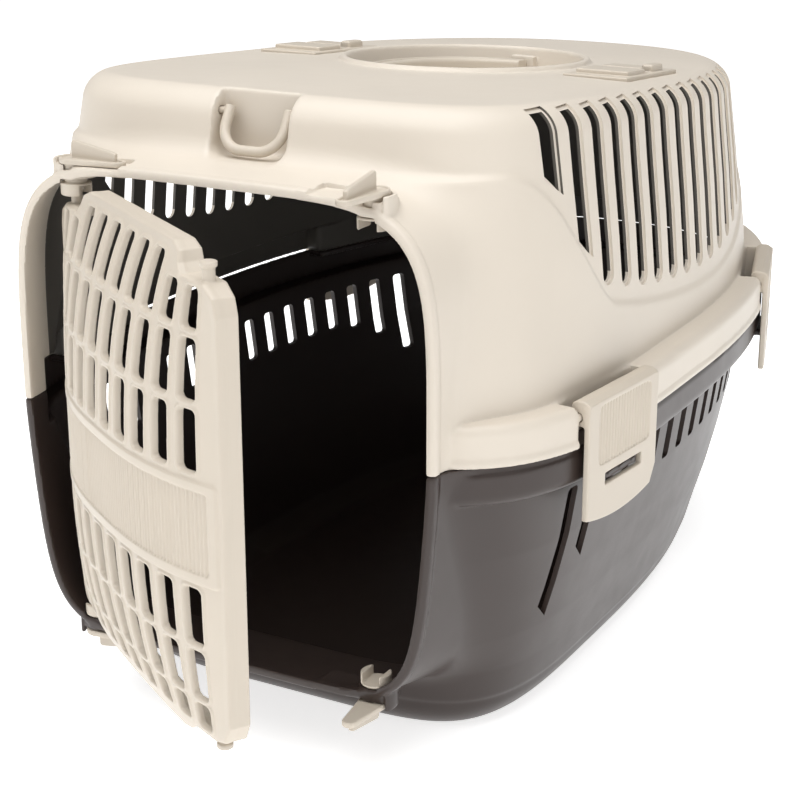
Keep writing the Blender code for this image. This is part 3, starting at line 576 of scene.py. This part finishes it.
def knob_features(grid, shell, up):
    """Seats, C-shaped walls and holes of the knobs on the right side (the left mirrors it)."""
    seat = KNOB_TOP_SEAT if up > 0 else KNOB_BOTTOM_SEAT
    inner = KNOB_TOP_INNER if up > 0 else KNOB_BOTTOM_INNER
    dx, dy = grid.x - PIN_X, grid.y - KNOB_Y
    rho = np.hypot(dx, dy)

    def between(a, b):
        low, high = sorted((a, b))
        return np.abs(grid.z - (low + high) / 2) - (high - low) / 2

    pad = cross(np.hypot(dx, dy - 2.4) - 10.0, between(seat, inner))
    shell = round_union(shell, pad, 1.5)
    first, last = (-35.0, 126.0)
    turn = np.degrees(np.arctan2(dy, dx)) - (first + last) / 2
    wedge = rho * np.radians(np.abs(turn) - (last - first) / 2)
    flat = FLAT_TOP_Z if up > 0 else FLAT_BOTTOM_Z
    depth = 3.0 if up > 0 else 3.5
    back = rect_field(grid.x, grid.y, (FLAT_LEFT, -281.0), (FLAT_RIGHT, -264.0), 3.0)
    shell = round_union(shell, cross(back, between(flat + up * 0.1, flat - up * depth)), 1.0)
    swept = rect_field(grid.x, grid.y, (FLAT_LEFT, -290.0), (FLAT_RIGHT, -266.4), 2.0)
    shell = cut(shell, cross(swept, between(flat, flat + up * 12)))
    root, height = (4.5, 6.5) if up > 0 else (8.5, 4.0)
    ring = cross(np.abs(rho - 10.1) - 1.2, wedge)
    ring = round_cross(ring, between(seat - up * root, seat + up * height), 0.5)
    shell = round_union(shell, ring, 0.8)
    shell = cut(shell, cross(rho - 6.3, between(seat + up * 20, inner - up * 5)))
    return cut(shell, cross(rho - FORK_RADIUS - 0.6, between(inner, inner - up * 14.0)))


def shell_grid(low_z, high_z):
    return Grid((0.0, -290.0, low_z), (182.0, 265.0, high_z), SHELL_STEP)


def hood_swell(grid):
    """How far the wall below the hood line stands proud: most at the front, fading out above the belt."""
    y = grid.y
    low = 214.5 + hood_rise(y)
    line = low + (311.0 - low) * smoothstep((-143.0 - y) / 80.0)
    amount = 1.6 + 1.6 * smoothstep((-200.0 - y) / 40.0)
    below = smoothstep((line + 1.5 - grid.z) / 4.5)
    return amount * below * smoothstep((grid.z - 183.0) / 40.0)


def mark_painted_inner_shade(obj, grid, inner):
    """Marks the faces of the inner surface behind the collar for painted shade: the material darkens them to
    stand in for the shadow inside the shell.
    """
    mesh = obj.data
    centres = np.empty(len(mesh.polygons) * 3, np.float32)
    mesh.polygons.foreach_get("center", centres)
    centres = centres.reshape(-1, 3) / MM
    folded = centres.copy()
    folded[:, 0] = np.abs(folded[:, 0])
    depth = sample(inner, (folded - np.array(grid.low)) / grid.step)
    inside = (np.abs(depth) < PAINTED_SHADE_REACH) & (centres[:, 1] > PAINTED_SHADE_FRONT)
    layer = mesh.attributes.new("painted_inner_shade", "FLOAT", "FACE")
    layer.data.foreach_set("value", inside.astype(np.float32))


def top_shell(mat):
    g = shell_grid(171.0, 354.0)
    run = np.where(g.y < PLAN_MID_Y, 165.0, 267.0)
    crown = ROOF_CROWN * np.minimum(1.0, (g.x / 132.0) ** 2 + ((g.y - PLAN_MID_Y) / run) ** 2)
    roof = g.z - roof_z(g.y) + crown
    side = wall_field(g, UPPER_WALL)
    dome = round_cross(side - hood_swell(g), roof, ROOF_EDGE)
    mouth = mouth_field(g, True)
    front = MOUTH_Y - g.y
    collar = round_cross(cross(mouth, g.y - UPPER_COLLAR_END), front, 0.8)
    outer = round_union(dome, collar, COLLAR_FILLET)
    belt = plan_field(g, BELT_HALF_WIDTH, BELT_FRONT, BELT_REAR)
    band = round_cross(belt, g.z - BELT_TOP_Z, 5.0)
    lip = round_cross(belt - BELT_LIP, g.z - 178.9, 0.6)
    outer = union(round_union(outer, band, 1.2), lip)
    bead = round_cross(mouth - 1.2, np.abs(g.y - MOUTH_Y - 2.6) - 2.6, 1.2)
    outer = round_union(outer, bead, 0.8)

    inner = union(round_cross(side + WALL, roof + WALL, ROOF_EDGE - WALL),
                  cross(mouth + MOUTH_WALL, g.y - UPPER_COLLAR_END),
                  cross(belt + WALL, g.z - BELT_TOP_Z + WALL))

    oval = np.hypot(g.x / RECESS_X, (g.y - HANDLE_Y) / RECESS_Y)
    slope = np.hypot(g.x / RECESS_X**2, (g.y - HANDLE_Y) / RECESS_Y**2) + 1e-6
    oval = (oval - 1) * oval / slope
    rim = np.hypot(oval - 2.4, g.z - roof_z(g.y) + 0.2) - 2.6
    outer = round_union(outer, rim, 1.2)
    lean = 0.19 * (roof_z(g.y) - g.z)
    bowl = round_cross(oval + lean, roof_z(g.y) - RECESS_DEPTH - g.z, 5.0)
    outer = cut(outer, bowl)
    inner = cut(inner, round_cross(oval + lean - WALL, roof_z(g.y) - RECESS_DEPTH - WALL - g.z, 7.0))

    pocket_side = rect_field(g.x, g.z, (-RING_POCKET_HALF, RING_POCKET_FLOOR), (RING_POCKET_HALF, 420.0), 7.0)
    outer = round_cut(outer, round_cross(pocket_side, g.y - RING_POCKET_BACK, 2.0), 1.4)
    inner = cut(inner, cross(pocket_side - WALL, g.y - RING_POCKET_BACK - WALL))

    above_roof = g.z - roof_z(g.y)
    seat = box_field(g.x, g.y, above_roof, (GUIDE_X - GUIDE_HALF_X, GUIDE_Y - GUIDE_HALF_Y, -GUIDE_SEAT),
                     (GUIDE_X + GUIDE_HALF_X, GUIDE_Y + GUIDE_HALF_Y, 60), 1.0)
    hollow = box_field(g.x, g.y, above_roof, (GUIDE_X - 16, GUIDE_Y - 26, -9.0),
                       (GUIDE_X + 16, GUIDE_Y + 24, 60), 2.0)
    outer = cut(outer, union(seat, hollow))
    inner = cut(inner, union(seat - WALL, hollow - WALL))

    for y_mid in CLIPS.values():
        t, n = clip_coordinates(g, y_mid)
        notch = box_field(t, n, g.z, (-CLIP_NOTCH / 2, -CLIP_NOTCH_DEPTH, 130),
                          (CLIP_NOTCH / 2, 30, 230), 1.0)
        outer = round_cut(outer, notch, 0.8)
        inner = cut(inner, notch - WALL)

    shell = cut(outer, inner)
    for end in (-1, 1):
        y = HANDLE_Y + end * 80.5
        block = box_field(g.x, g.y, above_roof, (-8, y - 3.2, -RECESS_DEPTH - 1.5), (8, y + 3.2, -2.5), 1.4)
        shell = round_union(shell, block, 1.0)
        bore = np.hypot(g.x, above_roof + HANDLE_AXIS_DROP) - 3.0
        shell = cut(shell, cross(bore, np.abs(g.y - HANDLE_Y - end * 80.3) - 3.8))
    ring_bore = cross(np.hypot(g.y - RING_PIVOT_Y, g.z - RING_PIVOT_Z) - 2.3, np.abs(g.x - 23.8) - 1.9)
    shell = cut(shell, ring_bore)
    for y_mid in CLIPS.values():
        t, n = clip_coordinates(g, y_mid)
        bar = cross(clip_axis(n, g.z) - CLIP_BAR_RADIUS, np.abs(t) - CLIP_NOTCH / 2 - 2.4)
        shell = union(shell, bar)
    shell = knob_features(g, shell, 1)
    shell = cross(shell, PARTING_Z + PARTING_GAP - g.z)
    skin_inside = surface("under_the_skin", g, np.maximum(dome + 1.3, 200.0 - g.z), mirror=True)
    obj = surface("upper_shell_skin", g, shell, mirror=True)
    recess = slit_cutter("slit_recess", True, SLIT_RECESS, 2.4)
    carve(recess, (skin_inside, "DIFFERENCE"))
    carve(obj, (recess, "DIFFERENCE"), (slit_cutter("slit_cut", True), "DIFFERENCE"))
    # Painted shade on the inner surface behind the collar.
    mark_painted_inner_shade(obj, g, inner)
    finish_piece(obj, "top_shell", "carrier", mat)


def bottom_shell(mat):
    g = shell_grid(-4.0, 178.0)
    side = wall_field(g, LOWER_WALL, LOWER_FRONT_ROUNDNESS)
    foot = 0.7 * smoothstep((22.0 - g.z) / 3.0)
    tray = round_cross(side + foot, -g.z, TRAY_EDGE)
    mouth = mouth_field(g, False)
    collar = round_cross(cross(mouth, g.y - LOWER_COLLAR_END), MOUTH_Y - g.y, 0.8)
    outer = round_union(tray, collar, COLLAR_FILLET)
    belt = plan_field(g, BAND_HALF_WIDTH, BELT_FRONT, BELT_REAR)
    step = 0.9 * smoothstep((g.z - 170.6) / 0.8)
    band = round_cross(belt + step, BAND_BOTTOM_Z - g.z, 5.0)
    outer = round_union(outer, band, 1.2)
    bead = round_cross(mouth - 1.2, np.abs(g.y - MOUTH_Y - 2.6) - 2.6, 1.2)
    outer = round_union(outer, bead, 0.8)
    inner = union(round_cross(side + WALL, WALL - g.z, TRAY_EDGE - WALL),
                  cross(mouth + MOUTH_WALL, g.y - LOWER_COLLAR_END),
                  cross(belt + WALL, BAND_BOTTOM_Z + WALL - g.z))
    shell = cut(outer, inner)
    shell = knob_features(g, shell, -1)
    for y_mid in CLIPS.values():
        t, n = clip_coordinates(g, y_mid)
        lug = box_field(t, n, g.z, (-17, -15.6, 151.8), (18, 3.1, 155.6), 0.6)
        shelf = box_field(t, n, g.z, (-CLIP_NOTCH / 2 - WALL, -17.0, 171.5),
                          (CLIP_NOTCH / 2 + WALL, -3.5, 180.0))
        shell = union(shell, lug, shelf)
    shell = cross(shell, g.z - PARTING_Z + PARTING_GAP)
    obj = surface("lower_shell_skin", g, shell, mirror=True)
    carve(obj, (slit_cutter("slot_cut", False), "DIFFERENCE"))
    finish_piece(obj, "bottom_shell", "carrier", mat)


# ---- door ------------------------------------------------------------------------------------------

DOOR_COLUMNS = (9.3, 27.9, 46.5, 65.1, 83.7)
DOOR_ROWS = ((263.0, 291.0), (230.5, 259.0), (197.0, 226.5), (110.8, 139.8), (82.0, 107.5), (66.0, 79.0))
DOOR_CELL = 11.2
RIB_PITCH = 2.5


def door_outline():
    """Right half of the closed door's outline as (x, z), then its mirror image."""
    right = [(55, 54.5), (64, 56.5), (71, 61.5), (90, 61.5), (98, 64.0), (103, 73.5), (103, 271.5),
             (100, 279.5), (91, 284.5), (70, 284.5), (66, 288.5), (64, 293.5), (56, 296.5)]
    return right + [(-x, z) for x, z in reversed(right)]


def open_door(points):
    """Turns points of the closed door about its left pins."""
    c, s = math.cos(DOOR_OPEN), math.sin(DOOR_OPEN)
    x, y = points[:, 0] + PIN_X, points[:, 1]
    return np.stack([c * x + s * y - PIN_X, -s * x + c * y + KNOB_Y, points[:, 2]], 1)


def door(mat):
    g = Grid((-106.0, -28.5, 51.5), (106.0, 9.5, 299.0), DOOR_STEP)
    outline = polygon_field(g.x, g.z, door_outline())
    across = np.maximum(0, 1 - np.abs(g.x / DOOR_HALF_WIDTH) ** 2.6)
    upright = np.maximum(0, 1 - np.abs((g.z - 170.0) / 126.0) ** 3.0)
    front = DOOR_FRONT + DOOR_BULGE * across * upright
    cells = None
    for column in DOOR_COLUMNS:
        for row, (low, high) in enumerate(DOOR_ROWS):
            if row == 0 and column > 60:
                high -= 9.0
            left, right = column - DOOR_CELL / 2, column + DOOR_CELL / 2
            cell = rect_field(np.abs(g.x), g.z, (left, low), (right, high), 2.6)
            cells = cell if cells is None else np.minimum(cells, cell)
    bead = 0.9 * smoothstep(1 - np.abs(cells - 1.1) / 1.5)
    panel = rect_field(g.x, g.z, (-96.0, 147.5), (96.0, 189.0), 3.0)
    raised = 1.2 * smoothstep(-rect_field(g.x, g.z, (-101.0, 142.2), (101.0, 194.0), 3.0) / 1.5)
    ribs = (0.6 * np.cos(2 * math.pi * g.x / RIB_PITCH) - 1.1) * smoothstep(-panel / 1.0)
    face = front + bead + raised + ribs
    slope = np.hypot(np.gradient(front, g.step, axis=0), np.gradient(front, g.step, axis=2))
    steep = np.sqrt(1 + slope**2)
    sheet = cross(-face - g.y, g.y + front - DOOR_SHEET) / steep
    body = round_cross(sheet, outline + 0.3, 0.6)
    body = round_cut(body, cells, 0.5)
    rim = round_cross(cross(outline, -outline - 3.4), np.abs(g.y - (7.0 - DOOR_FRONT - 0.5) / 2) - 5.5, 0.7)
    body = round_union(body, rim, 1.2)
    from_pin = np.hypot(np.abs(g.x) - PIN_X, g.y)
    for low, high, head in ((281.5, 292.8, 292.4), (57.2, 65.0, 57.6)):
        pin = cross(from_pin - PIN_RADIUS, np.abs(g.z - (low + high) / 2) - (high - low) / 2)
        body = round_union(body, pin, 0.8)
        cap = round_cross(from_pin - PIN_HEAD_RADIUS, np.abs(g.z - head) - 1.4, 0.5)
        body = union(body, cap)
    obj = surface("door_grille_skin", g, body, place=open_door)
    finish_piece(obj, "door", "door", mat)


# ---- knobs, clips and roof fittings -----------------------------------------------------------------


def knob(node, side, up, mat):
    """Quarter-turn knob in coordinates along and across its lever, measured from its seat."""
    seat = KNOB_TOP_SEAT if up > 0 else KNOB_BOTTOM_SEAT
    lift = LEVER_LIFT[node.removeprefix("latch_knob_")]
    fork_end = lift - FORK_REACH[up]
    fork_start = fork_end + FORK_HEIGHT
    g = Grid((-10.0, -10.0, -18.0), (33.0, 10.0, 20.5), FITTING_STEP)
    along = np.clip(g.x / LEVER_LENGTH, 0, 1)
    outline = np.hypot(g.x - LEVER_LENGTH * along, g.y) - (8.0 - 4.0 * along)
    half_thick = LEVER_THICK / 2
    plate = round_cross(outline, np.abs(g.z - lift - half_thick) - half_thick, 0.6)
    rim = round_cross(cross(outline, -outline - 1.4), np.abs(g.z - lift - 2.0) - 1.0, 0.4)
    plate = round_union(cut(plate, cross(outline + 1.4, lift + 2.1 - g.z)), rim, 0.4)
    fin_outline = [(-1, 1), (26, 1), (26.5, 6.6), (24, 7.6), (0.5, 11.6), (-1, 10.6)]
    fin = round_cross(polygon_field(g.x, g.z - lift, fin_outline), np.abs(g.y) - 1.3, 0.5)
    body = round_union(plate, fin, 0.8)
    rho = np.hypot(g.x, g.y)
    top_end, low_end = lift + 1.2, fork_start - 0.8
    shaft = cross(rho - 5.8, np.abs(g.z - (top_end + low_end) / 2) - (top_end - low_end) / 2)
    body = round_union(body, shaft, 0.6)
    claws = round_cross(rho - FORK_RADIUS, np.abs(g.z - (fork_start + fork_end) / 2) - FORK_HEIGHT / 2, 0.8)
    body = union(body, claws)
    slot = cross(np.abs(g.y) - FORK_GAP, g.z - fork_start + FORK_BASE)
    body = round_cut(body, slot, 0.4)
    heading = 0.0 if side < 0 else -math.pi / 2
    c, s = math.cos(heading), math.sin(heading)

    def place(p):
        x = side * PIN_X + c * p[:, 0] - s * p[:, 1]
        y = KNOB_Y + s * p[:, 0] + c * p[:, 1]
        return np.stack([x, y, seat + up * p[:, 2]], 1)

    obj = surface(node + "_skin", g, body, place=place)
    finish_piece(obj, node, node, mat)


def side_clip(node, end, side, mat):
    y_mid = CLIPS[end]
    mx, my, tx, ty = clip_frame(y_mid)
    half = CLIP_WIDTH / 2
    g = Grid((-39.0, -8.5, 128.0), (39.0, 7.5, 201.5), FITTING_STEP)
    t, n, z = g.x, g.y, g.z
    lower = CLIP_LOW_Z + 5.0 * ((t + 3.0) / half) ** 2
    outline = cross(rect_field(t, z, (-half, 120.0), (half, 197.0), 3.0), (lower - z) / 1.05)
    outline = cross(outline, (t - half + (146.0 - z) * 0.55) / 1.14)
    plate = round_cross(outline, np.abs(n - 2.95) - 1.75, 0.9)
    panel = rect_field(t, z, (-27.0, 162.0), (29.0, 195.0), 5.0)
    ribs = (0.5 * np.cos(2 * math.pi * t / 3.0) + 0.7) * smoothstep(-panel / 0.8)
    barrel = rect_field(n, z, (-6.5, 185.5), (CLIP_FACE, CLIP_TOP_Z), 4.0)
    barrel = cross(barrel, clip_axis(n, z) - 9.3)
    barrel = round_cross(barrel, np.abs(t) - half + 0.2, 0.8)
    body = round_union(plate, barrel, 1.2)
    body = cross(body, n - CLIP_FACE + ribs)
    body = cut(body, clip_axis(n, z) - CLIP_BAR_RADIUS - 0.5)
    body = cut(body, cross(np.abs(z - CLIP_PIVOT_Z) - 1.7, n + CLIP_PIVOT_INSET))
    window = rect_field(t, z, (-18.7, 150.4), (19.9, 156.9), 0.8)
    body = round_cut(body, cross(window, -n - 3.0), 0.5)

    def place(p):
        x = mx + p[:, 0] * tx + p[:, 1] * ty
        return np.stack([side * x, my + p[:, 0] * ty - p[:, 1] * tx, p[:, 2]], 1)

    obj = surface(node + "_skin", g, body, place=place)
    finish_piece(obj, node, node, mat)


def carry_handle(mat):
    g = Grid((-60.0, -86.0, -7.0), (8.0, 86.0, 7.0), 0.55)
    e = np.hypot(g.x / HANDLE_REACH, g.y / HANDLE_HALF)
    slope = np.hypot(g.x / HANDLE_REACH**2, g.y / HANDLE_HALF**2) + 1e-6
    arch = np.abs((e - 1) * e / slope)
    arch = np.where(g.x > 0, np.abs(np.abs(g.y) - HANDLE_HALF), arch)
    bar = round_cross(arch - 6.0, np.abs(g.z) - 4.0, 2.6)
    bar = cross(bar, g.x - 5.0)
    groove = cross(arch - 2.6, 2.9 - g.z, g.x + 14.0)
    bar = round_cut(bar, groove, 0.6)
    journal = cross(np.hypot(g.x, g.z) - 2.5, np.abs(np.abs(g.y) - 74.5) - 8.0)
    body = round_union(bar, journal, 0.5)

    def place(p):
        y = HANDLE_Y + p[:, 1]
        return np.stack([p[:, 0], y, roof_z(y) - HANDLE_AXIS_DROP + p[:, 2]], 1)

    obj = surface("carry_handle_skin", g, body, place=place)
    finish_piece(obj, "carry_handle", "carry_handle", mat)


def d_ring(mat):
    """The ring in its own plane: x across, y down from the pivot, z square to it."""
    g = Grid((-26.0, -4.0, -4.0), (26.0, 26.5, 4.0), 0.32)
    corner = 13.0
    loop = rect_field(g.x, g.y, (-RING_X, -60.0), (RING_X, RING_LENGTH), corner)
    tube = np.hypot(loop, g.z) - 2.7
    tube = cross(tube, -2.6 - g.y)
    stub = cross(np.hypot(g.y, g.z) - 1.8, np.abs(np.abs(g.x) - 20.3) - 4.7)
    body = round_union(tube, stub, 0.5)
    down = np.array((0.0, -0.51, -0.86))
    normal = np.array((0.0, -0.86, 0.51))

    def place(p):
        pivot = np.array((0.0, RING_PIVOT_Y, RING_PIVOT_Z))
        across = np.stack([p[:, 0], 0 * p[:, 0], 0 * p[:, 0]], 1)
        return pivot + across + p[:, 1:2] * down + p[:, 2:3] * normal

    obj = surface("d_ring_skin", g, body, place=place)
    finish_piece(obj, "d_ring", "d_ring", mat)


def belt_guide(node, side, mat):
    """Belt guide: seat plate, slot, raised front tab, and an arched hook beside the slot."""
    g = Grid((-22.0, -41.0, -5.0), (22.0, 41.0, 9.0), 0.5)
    plate = box_field(g.x, g.y, g.z, (-19.5, -38.5, -GUIDE_SEAT + 0.3), (19.5, 38.5, 0.4), 0.6)
    slot = rect_field(g.x, g.y, (-15.0, -1.5), (15.0, 8.0), 1.5)
    plate = cut(plate, slot)
    tab = box_field(g.x, g.y, g.z, (-16.0, -28.0, -1.0), (16.0, -1.8, 2.9), 1.0)
    rear = box_field(g.x, g.y, g.z, (-16.0, 8.4, -1.0), (9.0, 26.0, 2.2), 1.0)
    hook = box_field(g.x, g.y, g.z, (9.0, 8.5, -1.0), (16.0, 26.0, 4.5), 1.8)
    body = union(plate, tab, rear, round_union(rear, hook, 1.5))

    def place(p):
        x = side * GUIDE_X + p[:, 0]
        y = GUIDE_Y + p[:, 1]
        return np.stack([x, y, roof_z(y) + p[:, 2]], 1)

    obj = surface(node + "_skin", g, body, place=place)
    finish_piece(obj, node, "carrier", mat)


# ---- stage -----------------------------------------------------------------------------------------

CAMERA_PLACE = (0.5142, -1.0214, 0.4974)
CAMERA_TURN = (math.radians(90 - 18.82), 0.0, math.radians(28.75))
CAMERA_LENS = 84.4
WORLD_STRENGTH = 0.24
FLOOR_SIZE = 60.0
FLOOR_GLOW = 0.7


def camera():
    data = bpy.data.cameras.new("camera")
    data.sensor_width = 36.0
    data.lens = CAMERA_LENS
    data.shift_x = -0.0074
    data.shift_y = 0.0043
    obj = bpy.data.objects.new("camera", data)
    obj.location = CAMERA_PLACE
    obj.rotation_euler = CAMERA_TURN
    bpy.context.scene.collection.objects.link(obj)
    bpy.context.scene.camera = obj


def light(name, place, target, size, power):
    data = bpy.data.lights.new(name, "AREA")
    data.shape = "SQUARE"
    data.size = size
    data.energy = power
    obj = bpy.data.objects.new(name, data)
    obj.location = place
    obj.rotation_euler = (Vector(target) - Vector(place)).to_track_quat("-Z", "Y").to_euler()
    bpy.context.scene.collection.objects.link(obj)


def studio():
    world = bpy.data.worlds.new("studio")
    bpy.context.scene.world = world
    world.use_nodes = True
    back = world.node_tree.nodes["Background"]
    back.inputs["Color"].default_value = (1.0, 1.0, 1.0, 1.0)
    back.inputs["Strength"].default_value = WORLD_STRENGTH
    light("top", (0.0, -0.6, 2.2), (0.0, 0.0, 0.2), 2.4, 60.0)
    light("right", (2.0, -0.8, 1.2), (0.0, 0.0, 0.15), 1.6, 6.0)
    light("front", (-1.2, -2.2, 1.2), (0.0, 0.0, 0.15), 1.6, 5.0)
    bpy.context.scene.view_settings.view_transform = "Standard"
    bpy.ops.mesh.primitive_plane_add(size=FLOOR_SIZE, location=(0.0, 0.0, -0.0005))
    floor = bpy.context.object
    floor.name = "floor"
    mat = bpy.data.materials.new("floor")
    mat.use_nodes = True
    shader = mat.node_tree.nodes["Principled BSDF"]
    shader.inputs["Base Color"].default_value = (0.97, 0.97, 0.97, 1.0)
    shader.inputs["Roughness"].default_value = 0.9
    shader.inputs["Emission Color"].default_value = (1.0, 1.0, 1.0, 1.0)
    shader.inputs["Emission Strength"].default_value = FLOOR_GLOW
    floor.data.materials.append(mat)


def build():
    camera()
    studio()
    beige = plastic("beige_moulding", (0.67, 0.605, 0.52), 0.40, 0.25, stripes=True)
    warm = plastic("beige_fitting", (0.585, 0.52, 0.435), 0.38, 0.2)
    dark = plastic("dark_moulding", (0.038, 0.026, 0.022), 0.34, 0.25)
    top_shell(beige)
    bottom_shell(dark)
    door(warm)
    for up_name, up in (("top", 1), ("bottom", -1)):
        for side_name, side in (("left", -1), ("right", 1)):
            knob(f"latch_knob_{up_name}_{side_name}", side, up, warm)
    for end in CLIPS:
        for side_name, side in (("left", -1), ("right", 1)):
            side_clip(f"side_clip_{end}_{side_name}", end, side, warm)
    carry_handle(warm)
    d_ring(warm)
    belt_guide("belt_guide_left", -1, warm)
    belt_guide("belt_guide_right", 1, warm)


build()
